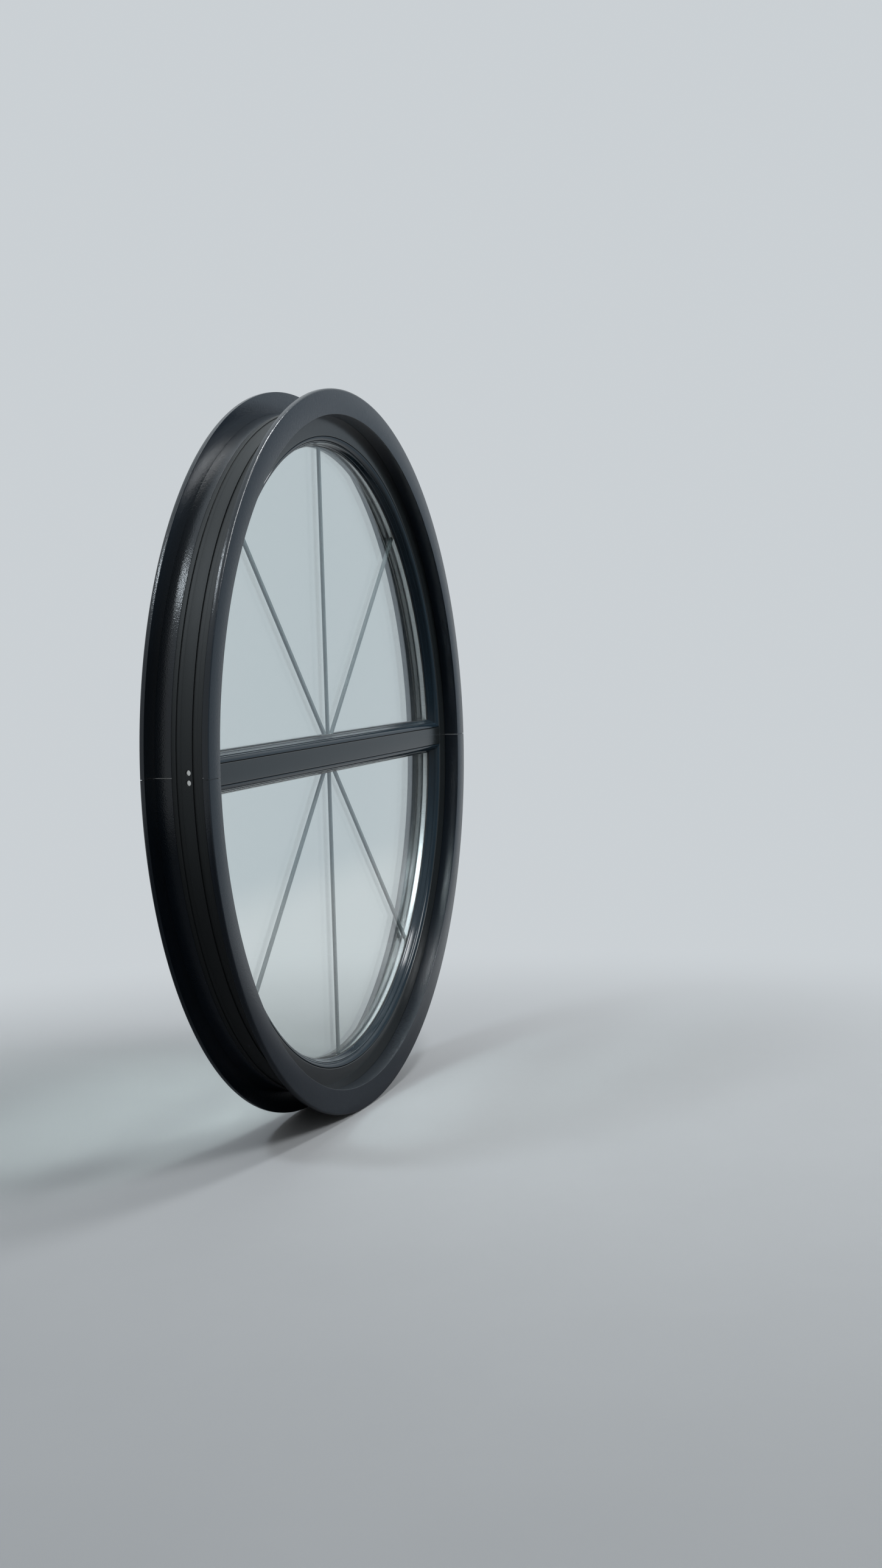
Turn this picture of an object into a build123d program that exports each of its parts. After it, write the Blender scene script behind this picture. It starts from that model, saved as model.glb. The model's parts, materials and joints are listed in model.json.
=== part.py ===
from build123d import *
import math
import os

# Round fixed window with a level transom, two half-round double-glazed units with
# slim bars between the panes, and a ring casing on its inner and outer side.
# The origin is the centre of the circle, halfway through the window's depth.
# +X is to the right seen from indoors, +Y points outdoors and +Z is up.
# All sizes are in millimetres.

# Casings: flat half rings, each with a bent liner that runs back to the frame
casing_outer_radius = 750.0
casing_face_width = 52.0
casing_thickness = 10.0
casing_edge_rounding = 6.0
liner_thickness = 8.0
liner_rebate_depth = 3.0
inner_reveal_depth = 32.0
outer_reveal_depth = 42.0

# Frame: a bent profile, made as two arches butted on the level diameter
frame_depth = 60.0
frame_web_height = 50.0
frame_edge_chamfer = 1.2
frame_sight_bevel = 3.0
anchor_channel_width = 10.0
anchor_channel_depth = 3.0
anchor_channel_inset = 9.0

# Transom: straight profile between the arches
transom_face_height = 40.0
chamber_front_wall = 12.0
chamber_back_wall = 5.0
chamber_side_wall = 4.0

# Glazing beads, clipped into a groove in the glazing seat
bead_width = 19.0
bead_depth = 23.0
bead_front_gap = 0.6
bead_front_recess = 0.5
bead_nose_chamfer = 1.2
bead_step_width = 1.0
bead_step_depth = 0.5
clip_start = 10.0
clip_groove_width = 4.0
clip_groove_depth = 2.5
clip_clearance = 0.3
clip_stop_short = 34.0

# The bead's moulding, as shares of the bead's width and depth: where its round part
# ends, how full that round part is, and where the flat behind it ends
bead_round_width = 0.63
bead_round_depth = 0.43
bead_round_fullness = 0.66
bead_flat_width = 0.85
bead_flat_depth = 0.8

# Glass units
pane_thickness = 4.0
cavity_width = 12.0
gasket_thickness = 3.0
gasket_width = 8.5
gasket_lip = 0.5
edge_clearance = 4.0
edge_seal_height = 3.0
spacer_height = 6.5
spacer_shoulder = 1.5

# Bars between the panes
bar_width = 10.0
bar_thickness = 6.0
bar_edge_chamfer = 1.2
bar_wall = 0.9
side_bar_angle = 45.0
upper_bar_spread = 0.0
lower_bar_spread = 11.5
plug_straight_foot = 5.5
plug_arch_foot = 2.0
plug_overhang = 0.6
plug_stub_length = 14.0
plug_stub_clearance = 0.2

# Blocks that hold the glass units clear of the frame
block_length = 80.0
block_margin = 1.0
flat_block_offset = 400.0
arch_block_angle = 38.0

# Drain slots through the outer upstands, each under a small hooded cap
drain_slot_length = 30.0
drain_slot_height = 5.0
drain_cap_length = 42.0
drain_cap_height = 13.0
drain_cap_projection = 3.5
drain_cap_wall = 1.5
drain_spigot_depth = 5.0
drain_spigot_clearance = 0.5
transom_drain_offset = 300.0
arch_drain_angle = 12.0

# Steel stiffener, end connectors and screws of the transom
inner_fit_gap = 0.3
stiffener_wall = 2.0
connector_length = 45.0
connector_gap = 1.0
frame_screw_radius = 2.5
frame_screw_length = 62.0
frame_screw_head_radius = 5.0
frame_screw_head_height = 4.0
frame_screw_sink = 8.0
frame_screw_spacing = 18.0
screw_clearance = 0.3
stiffener_screw_radius = 2.0
stiffener_screw_length = 9.0
stiffener_screw_head_radius = 4.0
stiffener_screw_head_height = 1.8
stiffener_screw_offsets = (200.0, 520.0)

# Radii and depths that follow from the sizes above
casing_inner_radius = casing_outer_radius - casing_face_width
frame_outer_radius = casing_inner_radius + liner_thickness
seat_radius = frame_outer_radius - frame_web_height
seat_height = transom_face_height / 2
window_depth = inner_reveal_depth + frame_depth + outer_reveal_depth
inner_face = -window_depth / 2
outer_face = window_depth / 2
frame_front = inner_face + inner_reveal_depth
frame_back = frame_front + frame_depth
glass_front = frame_front + bead_depth + gasket_thickness
cavity_front = glass_front + pane_thickness
cavity_back = cavity_front + cavity_width
glass_back = cavity_back + pane_thickness
upstand_front = glass_back + gasket_thickness
unit_middle = (glass_front + glass_back) / 2
block_width = glass_back - glass_front + 2 * block_margin
chamber_front = frame_front + chamber_front_wall
chamber_back = upstand_front - chamber_back_wall
chamber_middle = (chamber_front + chamber_back) / 2
chamber_half_height = seat_height - chamber_side_wall
spacer_inset = edge_clearance + edge_seal_height
cavity_inset = spacer_inset + spacer_height

# Ways to stand a cylinder on its place: up from it, or down from it
UPWARDS = (Align.CENTER, Align.CENTER, Align.MIN)
DOWNWARDS = (Align.CENTER, Align.CENTER, Align.MAX)


def filled(*points):
    """A face inside a closed outline of straight lines."""
    return make_face(Polyline(*points, close=True))


def half_turn(solid):
    """The same piece for the lower half: turned by half a turn about the window's axis."""
    return Rot(0, 180, 0) * solid


def upper_half_ring(section):
    """Sweeps a section drawn as (radius, depth) round the upper half of the circle."""
    return half_turn(revolve(section, Axis.Y, 180))


def half_round(inset):
    """The upper half-round opening between seats, drawn in X and Z, and shrunk by an inset."""
    radius = seat_radius - inset
    base = seat_height + inset
    return Circle(radius) & Pos(0, base + radius) * Rectangle(2 * radius, 2 * radius)


def slab(outline, front, back):
    """Gives a flat outline in X and Z its thickness, from one depth to another."""
    return Pos(0, back, 0) * extrude(Plane.XZ * outline, back - front)


def half_round_loop(outer_inset, inner_inset, front, back):
    """A strip that follows the edge of the half-round opening at a constant width."""
    return slab(half_round(outer_inset) - half_round(inner_inset), front, back)


def casing_half(face, inward):
    """Half of a ring casing: flat, rounded along its outer edge, with a rebate for the liner."""
    back = face + inward * casing_thickness
    rebate = back - inward * liner_rebate_depth
    section = filled(
        (casing_inner_radius, face),
        (casing_outer_radius, face),
        (casing_outer_radius, back),
        (frame_outer_radius, back),
        (frame_outer_radius, rebate),
        (casing_inner_radius, rebate),
    )
    outer_edge = section.vertices().sort_by_distance((casing_outer_radius, face, 0))[0]
    return upper_half_ring(fillet(outer_edge, casing_edge_rounding))


def liner_half(face, inward, end):
    """Half of a bent liner, from the rebate in its casing to the face of the frame."""
    start = face + inward * (casing_thickness - liner_rebate_depth)
    section = filled(
        (casing_inner_radius, start),
        (frame_outer_radius, start),
        (frame_outer_radius, end),
        (casing_inner_radius, end),
    )
    return upper_half_ring(section)


def frame_section():
    """The frame's section as (radius, depth): face, glazing seat with clip groove, upstand, back."""
    sight_radius = seat_radius - bead_width
    groove_front = frame_front + clip_start
    groove_back = groove_front + clip_groove_width
    section = filled(
        (frame_outer_radius, frame_front),
        (seat_radius + frame_edge_chamfer, frame_front),
        (seat_radius, frame_front + frame_edge_chamfer),
        (seat_radius, groove_front),
        (seat_radius + clip_groove_depth, groove_front),
        (seat_radius + clip_groove_depth, groove_back),
        (seat_radius, groove_back),
        (seat_radius, upstand_front),
        (sight_radius, upstand_front),
        (sight_radius, frame_back - frame_sight_bevel),
        (sight_radius + frame_sight_bevel, frame_back),
        (frame_outer_radius, frame_back),
    )
    for middle in anchor_channel_middles():
        channel = Rectangle(2 * anchor_channel_depth, anchor_channel_width)
        section -= Pos(frame_outer_radius, middle) * channel
    return section


def anchor_channel_middles():
    """Depths of the two channels for anchor lugs that run round the frame's outside."""
    inset = anchor_channel_inset + anchor_channel_width / 2
    return frame_front + inset, frame_back - inset


def frame_screw_axes(side):
    """Where the screws enter the frame's outside at one end of the transom, and their direction."""
    for height in (-frame_screw_spacing / 2, frame_screw_spacing / 2):
        yield Pos(side * frame_outer_radius, chamber_middle, height) * Rot(0, -side * 90, 0)


def frame_screw_holes():
    """Clearance holes for the transom's screws, sunk from the frame's outside."""
    shank = Cylinder(frame_screw_radius + screw_clearance, frame_screw_length, align=UPWARDS)
    sink = Cylinder(frame_screw_head_radius + screw_clearance, 2 * frame_screw_sink)
    holes = Part()
    for side in (-1, 1):
        for axis in frame_screw_axes(side):
            holes += axis * (shank + sink)
    return holes


def arch_drain_places():
    """Places of the lower arch's drain slots, on the seat, each turned square to the arch."""
    for angle in (-arch_drain_angle, arch_drain_angle):
        yield Rot(0, angle, 0) * Pos(0, 0, -seat_radius)


def transom_drain_places():
    """Places of the transom's drain slots, on its upper seat."""
    for offset in (-transom_drain_offset, transom_drain_offset):
        yield Pos(offset, 0, seat_height)


def drain_slot():
    """The hole of one drain: it runs along the seat and out through the upstand."""
    depth = frame_back - upstand_front
    slot = Box(drain_slot_length, depth, drain_slot_height)
    return Pos(0, (frame_back + upstand_front) / 2, drain_slot_height / 2) * slot


def drain_cap():
    """A hooded cap with a spigot in the slot and an outlet on its lower side."""
    outline = SlotOverall(drain_cap_length, drain_cap_height)
    width = drain_slot_length - 2 * drain_spigot_clearance
    hood = slab(outline, frame_back, frame_back + drain_cap_projection)
    hollow_depth = drain_cap_projection - drain_cap_wall
    hollow = Box(width, hollow_depth, drain_cap_height, align=(Align.CENTER, Align.MIN, Align.CENTER))
    spigot_depth = drain_spigot_depth + drain_cap_projection
    spigot = Box(width, spigot_depth, drain_cap_wall, align=(Align.CENTER, Align.MIN, Align.MAX))
    spigot_top = drain_slot_height / 2 - drain_spigot_clearance
    cap = hood - Pos(0, frame_back, -drain_cap_wall) * hollow
    cap += Pos(0, frame_back - drain_spigot_depth, spigot_top) * spigot
    return Pos(0, 0, drain_slot_height / 2) * cap


def drain_caps(places):
    return [place * drain_cap() for place in places]


def frame_arch():
    """The upper arch, before the holes that only one of the arches has."""
    return upper_half_ring(frame_section())


def upper_frame_arch():
    return frame_arch() - frame_screw_holes()


def lower_frame_arch():
    arch = half_turn(frame_arch()) - frame_screw_holes()
    for place in arch_drain_places():
        arch -= place * drain_slot()
    return arch


def transom_section():
    """The transom's section as (depth, height): face, seats with clip grooves, outer flange."""
    sight_height = seat_height + bead_width
    groove_front = frame_front + clip_start
    groove_back = groove_front + clip_groove_width
    upper_edge = [
        (frame_front, seat_height - frame_edge_chamfer),
        (frame_front + frame_edge_chamfer, seat_height),
        (groove_front, seat_height),
        (groove_front, seat_height - clip_groove_depth),
        (groove_back, seat_height - clip_groove_depth),
        (groove_back, seat_height),
        (upstand_front, seat_height),
        (upstand_front, sight_height),
        (frame_back - frame_sight_bevel, sight_height),
        (frame_back, sight_height - frame_sight_bevel),
    ]
    lower_edge = [(depth, -height) for depth, height in reversed(upper_edge)]
    chamber = Rectangle(chamber_back - chamber_front, 2 * chamber_half_height)
    return filled(*upper_edge, *lower_edge) - Pos(chamber_middle, 0) * chamber


def inside_of_frame():
    """The space that the frame's inner surfaces bound: it gives the transom's coped ends."""
    sight_radius = seat_radius - bead_width
    profile = filled(
        (0, frame_front),
        (seat_radius + frame_edge_chamfer, frame_front),
        (seat_radius, frame_front + frame_edge_chamfer),
        (seat_radius, upstand_front),
        (sight_radius, upstand_front),
        (sight_radius, frame_back - frame_sight_bevel),
        (sight_radius + frame_sight_bevel, frame_back),
        (0, frame_back),
    )
    return revolve(profile, Axis.Y, 360)


def along_x(section, length):
    """Extrudes a section drawn as (depth, height) equally to both sides."""
    return extrude(Plane.YZ * section, length / 2, both=True)


def transom():
    bar = along_x(transom_section(), 2 * frame_outer_radius) & inside_of_frame()
    for place in transom_drain_places():
        bar -= place * drain_slot()
    for place in stiffener_screw_places():
        bar -= place * stiffener_screw(screw_clearance)
    return bar


def connector_block():
    """Solid block in the right end of the transom's chamber, drilled for the frame screws."""
    section = Rectangle(
        chamber_back - chamber_front - 2 * inner_fit_gap,
        2 * (chamber_half_height - inner_fit_gap),
    )
    reach = math.sqrt(seat_radius**2 - chamber_half_height**2)
    block = along_x(Pos(chamber_middle, 0) * section, 2 * seat_radius) & inside_of_frame()
    rest_of_bar = Box(2 * seat_radius, window_depth, seat_radius)
    block -= Pos(reach - connector_length - seat_radius, 0, 0) * rest_of_bar
    for axis in frame_screw_axes(1):
        block -= axis * frame_screw()
    return block


def transom_stiffener():
    """Steel channel in the transom's chamber, open towards the outdoors."""
    height = 2 * (chamber_half_height - inner_fit_gap)
    depth = chamber_back - chamber_front - 2 * inner_fit_gap
    section = Rectangle(depth, height)
    section -= Pos(stiffener_wall, 0) * Rectangle(depth, height - 2 * stiffener_wall)
    reach = math.sqrt(seat_radius**2 - chamber_half_height**2)
    length = 2 * (reach - connector_length - connector_gap)
    channel = along_x(Pos(chamber_middle, 0) * section, length)
    for place in stiffener_screw_places():
        channel -= place * stiffener_screw(0)
    return channel


def frame_screw():
    """One screw along +Z from the frame's outside, with its head on the sink's floor."""
    head = Cylinder(frame_screw_head_radius, frame_screw_head_height, align=DOWNWARDS)
    shank = Cylinder(frame_screw_radius, frame_screw_length, align=UPWARDS)
    return Pos(0, 0, frame_screw_sink) * (head + shank)


def frame_screws():
    return [axis * frame_screw() for side in (-1, 1) for axis in frame_screw_axes(side)]


def stiffener_screw_places():
    """Places of the screws through the transom's upper seat into the stiffener."""
    for offset in stiffener_screw_offsets:
        for side in (-1, 1):
            yield Pos(side * offset, chamber_middle, seat_height)


def stiffener_screw(clearance):
    """One screw that points down from the seat, with its head sunk flush."""
    head = Cylinder(stiffener_screw_head_radius + clearance, stiffener_screw_head_height, align=DOWNWARDS)
    shank = Cylinder(stiffener_screw_radius + clearance, stiffener_screw_length, align=DOWNWARDS)
    return head + shank


def stiffener_screws():
    return [place * stiffener_screw(0) for place in stiffener_screw_places()]


def bead_face(at):
    """The bead's moulded section. at(inset, depth) places a point in the drawing."""
    nose_start = (bead_front_gap, bead_front_recess + bead_nose_chamfer)
    nose_end = (bead_front_gap + bead_nose_chamfer, bead_front_recess)
    round_end = (bead_round_width * bead_width, bead_round_depth * bead_depth)
    round_middle = (
        nose_end[0] + bead_round_fullness * (round_end[0] - nose_end[0]),
        nose_end[1] + (1 - bead_round_fullness) * (round_end[1] - nose_end[1]),
    )
    first_step = (round_end[0] + bead_step_width, round_end[1] + bead_step_depth)
    second_step = (bead_flat_width * bead_width, bead_flat_depth * bead_depth)
    lip_start = (second_step[0] + bead_step_width, second_step[1] + bead_step_depth)
    outline = [
        Line(at(0, bead_depth), at(0, clip_start)),
        Line(at(0, clip_start), at(bead_front_gap, clip_start)),
        Line(at(bead_front_gap, clip_start), at(*nose_start)),
        Line(at(*nose_start), at(*nose_end)),
        ThreePointArc(at(*nose_end), at(*round_middle), at(*round_end)),
        Line(at(*round_end), at(*first_step)),
        Line(at(*first_step), at(*second_step)),
        Line(at(*second_step), at(*lip_start)),
        Line(at(*lip_start), at(bead_width, bead_depth)),
        Line(at(bead_width, bead_depth), at(0, bead_depth)),
    ]
    return make_face(outline)


def clip_foot_face(at):
    """The foot that snaps into the seat's groove."""
    front = clip_start + clip_clearance
    back = clip_start + clip_groove_width - clip_clearance
    reach = clip_groove_depth - clip_clearance
    return filled(at(0, front), at(-reach, front), at(-reach, back), at(0, back))


def on_arch(inset, depth):
    return seat_radius - inset, frame_front + depth


def on_transom(inset, depth):
    return frame_front + depth, seat_height + inset


def below_mitres():
    """The space under both mitre cuts: the straight bead lies in it, the curved bead outside it."""
    outer_x = math.sqrt(seat_radius**2 - seat_height**2)
    inner_x = math.sqrt((seat_radius - bead_width) ** 2 - (seat_height + bead_width) ** 2)
    slope = bead_width / (outer_x - inner_x)
    wide = seat_radius + bead_front_gap
    narrow = inner_x - bead_width
    low = seat_height - slope * (wide - outer_x)
    high = seat_height + slope * (outer_x - narrow)
    outline = filled((-wide, 0), (wide, 0), (wide, low), (narrow, high), (-narrow, high), (-wide, low))
    return slab(outline, inner_face, outer_face)


def curved_bead():
    body = upper_half_ring(bead_face(on_arch)) - below_mitres()
    stop = math.degrees(math.asin((seat_height + clip_stop_short) / seat_radius))
    foot = revolve(clip_foot_face(on_arch), Axis.Y, -(180 - 2 * stop))
    return body + Rot(0, -stop, 0) * foot


def straight_bead():
    body = along_x(bead_face(on_transom), 2 * seat_radius) & below_mitres()
    foot = along_x(clip_foot_face(on_transom), 2 * (seat_radius - clip_stop_short))
    return body + foot


def inner_gasket():
    lip_inset = bead_width + gasket_lip
    front = glass_front - gasket_thickness
    return half_round_loop(lip_inset - gasket_width, lip_inset, front, glass_front)


def outer_gasket():
    lip_inset = bead_width + gasket_lip
    return half_round_loop(lip_inset - gasket_width, lip_inset, glass_back, upstand_front)


def inner_pane():
    return slab(half_round(edge_clearance), glass_front, cavity_front)


def outer_pane():
    return slab(half_round(edge_clearance), cavity_back, glass_back)


def spacer():
    """Bent bar between the panes, narrower on the side of the edge seal."""
    shoulder_inset = spacer_inset + spacer_shoulder
    bar = half_round_loop(shoulder_inset, cavity_inset, cavity_front, cavity_back)
    return bar + half_round_loop(
        spacer_inset,
        shoulder_inset,
        cavity_front + spacer_shoulder,
        cavity_back - spacer_shoulder,
    )


def edge_seal():
    """Sealant that fills the unit's edge, round the spacer's shoulders as well."""
    shoulder_inset = spacer_inset + spacer_shoulder
    fill = half_round_loop(edge_clearance, shoulder_inset, cavity_front, cavity_back)
    return fill - half_round_loop(
        spacer_inset,
        shoulder_inset,
        cavity_front + spacer_shoulder,
        cavity_back - spacer_shoulder,
    )


def bar_axis(angle, spread):
    """Turns a bar that stands along +Z on the transom's seat to its angle, and moves it sideways."""
    side = (angle > 0) - (angle < 0)
    return Pos(side * spread, unit_middle, seat_height) * Rot(0, angle, 0)


def long_bar(section):
    """A bar from the seat outwards, longer than the unit is high."""
    return extrude(section, frame_outer_radius)


def bar_tube():
    """The bar's section: a thin tube with broken edges."""
    outside = chamfer(Rectangle(bar_width, bar_thickness).vertices(), bar_edge_chamfer)
    return outside - Rectangle(bar_width - 2 * bar_wall, bar_thickness - 2 * bar_wall)


def bar_field(reach):
    """The opening inside the spacer, less the plugs' feet and as much again as this reach."""
    base = seat_height + cavity_inset + plug_straight_foot + reach
    above = Pos(0, base + seat_radius) * Rectangle(2 * seat_radius, 2 * seat_radius)
    opening = half_round(cavity_inset + plug_arch_foot + reach)
    return slab(opening & above, cavity_front, cavity_back)


def unit_bar(angle, spread):
    """One bar, cut to the opening between the plugs' feet."""
    return bar_axis(angle, spread) * long_bar(bar_tube()) & bar_field(0)


def bar_plugs(angle, spread):
    """The plugs at both ends of one bar: a foot on the spacer and a stub inside the tube."""
    foot_section = Rectangle(bar_width + 2 * plug_overhang, bar_thickness + 2 * plug_overhang)
    if angle:
        foot_section = Rectangle(bar_width, bar_thickness + 2 * plug_overhang)
    stub_section = Rectangle(
        bar_width - 2 * bar_wall - 2 * plug_stub_clearance,
        bar_thickness - 2 * bar_wall - 2 * plug_stub_clearance,
    )
    unit_opening = slab(half_round(cavity_inset), cavity_front, cavity_back)
    feet = bar_axis(angle, spread) * long_bar(foot_section)
    feet &= unit_opening - bar_field(0)
    stubs = bar_axis(angle, spread) * long_bar(stub_section)
    stubs &= unit_opening - bar_field(plug_stub_length)
    return (feet + stubs).solids()


def unit_bars(spread):
    """The bars and plugs of one unit, with its side bars moved outwards by a spread."""
    angles = {"bar_left": -side_bar_angle, "bar_upright": 0, "bar_right": side_bar_angle}
    pieces = {name: unit_bar(angle, spread) for name, angle in angles.items()}
    plugs = [plug for angle in angles.values() for plug in bar_plugs(angle, spread)]
    pieces["bar_plugs"] = Compound(children=plugs)
    return pieces


def flat_blocks():
    """Blocks between the transom's seat and the straight edge of the glass unit."""
    block = Box(block_length, block_width, edge_clearance)
    height = seat_height + edge_clearance / 2
    return [Pos(side * flat_block_offset, unit_middle, height) * block for side in (-1, 1)]


def arch_blocks():
    """Curved blocks between the arch's seat and the round edge of the glass unit."""
    span = math.degrees(block_length / seat_radius)
    section = Pos(seat_radius - edge_clearance / 2, unit_middle) * Rectangle(edge_clearance, block_width)
    block = Rot(0, -90 - span / 2, 0) * revolve(section, Axis.Y, span)
    return [Rot(0, side * arch_block_angle, 0) * block for side in (-1, 1)]


def build():
    """All pieces of the window, by name."""
    unit = {
        "curved_bead": curved_bead(),
        "straight_bead": straight_bead(),
        "inner_gasket": inner_gasket(),
        "outer_gasket": outer_gasket(),
        "inner_pane": inner_pane(),
        "outer_pane": outer_pane(),
        "spacer": spacer(),
        "edge_seal": edge_seal(),
    }
    pieces = {
        "inner_casing_upper": casing_half(inner_face, 1),
        "inner_liner_upper": liner_half(inner_face, 1, frame_front),
        "outer_casing_upper": casing_half(outer_face, -1),
        "outer_liner_upper": liner_half(outer_face, -1, frame_back),
        "frame_upper_arch": upper_frame_arch(),
        "frame_lower_arch": lower_frame_arch(),
        "transom": transom(),
        "transom_stiffener": transom_stiffener(),
        "transom_connector_right": connector_block(),
        "transom_connector_left": half_turn(connector_block()),
        "transom_frame_screws": Compound(children=frame_screws()),
        "transom_stiffener_screws": Compound(children=stiffener_screws()),
        "upper_setting_blocks": Compound(children=flat_blocks()),
        "upper_location_blocks": Compound(children=arch_blocks()),
        "lower_setting_blocks": half_turn(Compound(children=arch_blocks())),
        "lower_location_blocks": half_turn(Compound(children=flat_blocks())),
        "transom_drain_caps": Compound(children=drain_caps(transom_drain_places())),
        "arch_drain_caps": Compound(children=drain_caps(arch_drain_places())),
    }
    for name in ("inner_casing", "inner_liner", "outer_casing", "outer_liner"):
        pieces[name + "_lower"] = half_turn(pieces[name + "_upper"])
    for name, piece in unit.items():
        pieces["upper_" + name] = piece
        pieces["lower_" + name] = half_turn(piece)
    for name, piece in unit_bars(upper_bar_spread).items():
        pieces["upper_" + name] = piece
    mirrored = {"bar_left": "bar_right", "bar_right": "bar_left"}
    for name, piece in unit_bars(lower_bar_spread).items():
        pieces["lower_" + mirrored.get(name, name)] = half_turn(piece)
    return pieces


os.makedirs("parts", exist_ok=True)
for node, shape in build().items():
    export_step(shape, "parts/" + node + ".step")
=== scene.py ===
import json
import math

import bmesh
import bpy
from mathutils import Matrix, Vector


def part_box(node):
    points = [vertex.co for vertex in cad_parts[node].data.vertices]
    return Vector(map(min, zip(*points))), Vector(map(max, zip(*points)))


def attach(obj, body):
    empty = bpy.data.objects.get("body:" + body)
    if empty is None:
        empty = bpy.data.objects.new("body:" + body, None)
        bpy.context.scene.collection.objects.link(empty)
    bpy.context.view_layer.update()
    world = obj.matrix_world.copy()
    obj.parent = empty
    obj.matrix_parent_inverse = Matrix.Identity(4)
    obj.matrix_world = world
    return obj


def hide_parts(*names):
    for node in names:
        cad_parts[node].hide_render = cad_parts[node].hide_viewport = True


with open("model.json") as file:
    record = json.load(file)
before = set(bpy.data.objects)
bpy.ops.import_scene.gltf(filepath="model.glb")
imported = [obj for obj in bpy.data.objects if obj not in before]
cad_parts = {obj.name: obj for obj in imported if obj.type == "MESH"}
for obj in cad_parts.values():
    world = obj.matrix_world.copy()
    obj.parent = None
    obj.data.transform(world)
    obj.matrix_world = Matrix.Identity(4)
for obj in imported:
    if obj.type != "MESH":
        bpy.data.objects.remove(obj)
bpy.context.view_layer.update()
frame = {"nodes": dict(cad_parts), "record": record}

MM = 0.001
X, Y, Z = 0, 1, 2


def places(node, axis):
    """Where a node starts and ends along an axis, in millimetres to one decimal."""
    return [round(corner[axis] / MM, 1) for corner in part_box(node)]


# Sizes of the window in millimetres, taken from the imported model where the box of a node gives
# them. Faces, fronts and backs are places along Y, which runs from the inner side to the outer.
INNER_FACE, INNER_CASING_BACK = places("inner_casing_upper", Y)
OUTER_FACE = places("outer_casing_upper", Y)[1]
CASING_OUTER = places("inner_casing_upper", X)[1]
CASING_INNER = CASING_OUTER - 52.0
CASING_THICKNESS = INNER_CASING_BACK - INNER_FACE
CASING_ROUNDING, REBATE_DEPTH = 6.0, 3.0

# The frame: its outer barrel, its seat under the glass and beads, its upstand behind the glass
# with a flange that ends at the sight line, and two channels round the barrel.
BARREL = places("frame_upper_arch", X)[1]
SEAT = BARREL - 50.0
FRAME_FRONT, FRAME_BACK = places("frame_upper_arch", Y)
SIGHT_INSET = 19.0
SEAT_HEIGHT = places("transom", Z)[1] - SIGHT_INSET
FLANGE_CHAMFER, WEB_ROUNDING = 3.0, 1.6
CHANNEL_SETBACK, CHANNEL_WIDTH, CHANNEL_DEPTH = 9.0, 10.0, 3.0

# The glass units and their seals. An inset is measured inward from the seat.
GLASS_FRONT, CAVITY_FRONT = places("upper_inner_pane", Y)
CAVITY_BACK, GLASS_BACK = places("upper_outer_pane", Y)
BEAD_BACK = places("upper_curved_bead", Y)[1]
GASKET_THICKNESS = GLASS_FRONT - BEAD_BACK
UPSTAND = GLASS_BACK + GASKET_THICKNESS
GASKET_LIP, GASKET_FOOT = 0.5, 8.0
EDGE_CLEARANCE, ARRIS = 4.0, 0.5
SPACER_INSET = places("upper_spacer", Z)[0] - SEAT_HEIGHT
CAVITY_INSET = SPACER_INSET + 6.5
SPACER_CORNER = 1.5

# The bead clips into a groove in the seat with its foot. Its round part runs from the nose to the
# shoulder, and the share says how far inward and how far back its middle lies between them. The
# ridge and the flat follow. All these points are (inset, depth behind the frame's front), and a
# third number rounds that corner.
GROOVE_FRONT, GROOVE_BACK, GROOVE_DEPTH = FRAME_FRONT + 10.0, FRAME_FRONT + 14.0, 2.5
BEAD_PLAY, FOOT_PLAY, NOSE_CHAMFER = 0.6, 0.3, 1.2
BEAD_NOSE, BEAD_SHOULDER = (1.8, 0.5), (12.0, 9.9)
BULGE_SHARE, BULGE_STEPS = (0.66, 0.34), 16
BEAD_RIDGE = ((11.6, 10.2, 0.3), (12.0, 9.1, 0.5), (13.2, 9.3, 0.6), (13.6, 11.4, 0.3))
BEAD_FLAT_END = ((16.15, 18.4, 0.5), (17.15, 18.9, 0.3))

# The bars between the panes, and how far the outer two start from the middle
BAR_HALF_WIDTH, BAR_HALF_DEPTH, BAR_CHAMFER = 5.0, 3.0, 1.2
BAR_MIDDLE = (CAVITY_FRONT + CAVITY_BACK) / 2
STRAIGHT_FOOT, ARCH_FOOT = 5.5, 2.0
BAR_SPREAD = {"upper": 0.0, "lower": 11.5}
BAR_TILT = {"left": -math.pi / 4, "upright": 0.0, "right": math.pi / 4}

# Screw holes through the arches as (radius, start, end) along X, with a sink for the heads, and
# the drain slots in the lower arch. Cuts run past what they cut.
HEAD_HOLE = (5.3, BARREL - 8.0, BARREL + 14.0)
SHANK_HOLE = (2.8, SEAT - 16.0, BARREL - 6.0)
SCREW_PLACE, SCREW_HEIGHTS = -7.0, (-9.0, 9.0)
SLOT_LENGTH, SLOT_HEIGHT, SLOT_OVERRUN = 30.0, 5.0, 1.0
SLOT_CORNER = SLOT_HEIGHT / 2.1
SLOT_TURN = math.radians(12)

# The joint on the level line: half its gap, and what fills it
JOINT_GAP, JOINT_PLAY = 0.55, 0.01
STRIP_SHY, STRIP_COVER = 0.3, 1.5
TONGUE_START, TONGUE_END, TONGUE_COVER, TONGUE_BACK = 2.0, 6.0, 2.5, 2.0

# Each casing with its face, the way inward from it and the frame's face where its liner ends
CASING_SIDES = (("inner", INNER_FACE, 1, FRAME_FRONT), ("outer", OUTER_FACE, -1, FRAME_BACK))

# How finely curves are drawn, and how much of its shorter side a rounded corner may take
HALF_TURN_STEPS, CORNER_STEPS, HOLE_STEPS = 240, 4, 32
CORNER_SHARE = 0.48
SHARP_ANGLE = math.radians(32)
MERGE_DISTANCE = 1e-7


# Meshes

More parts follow.
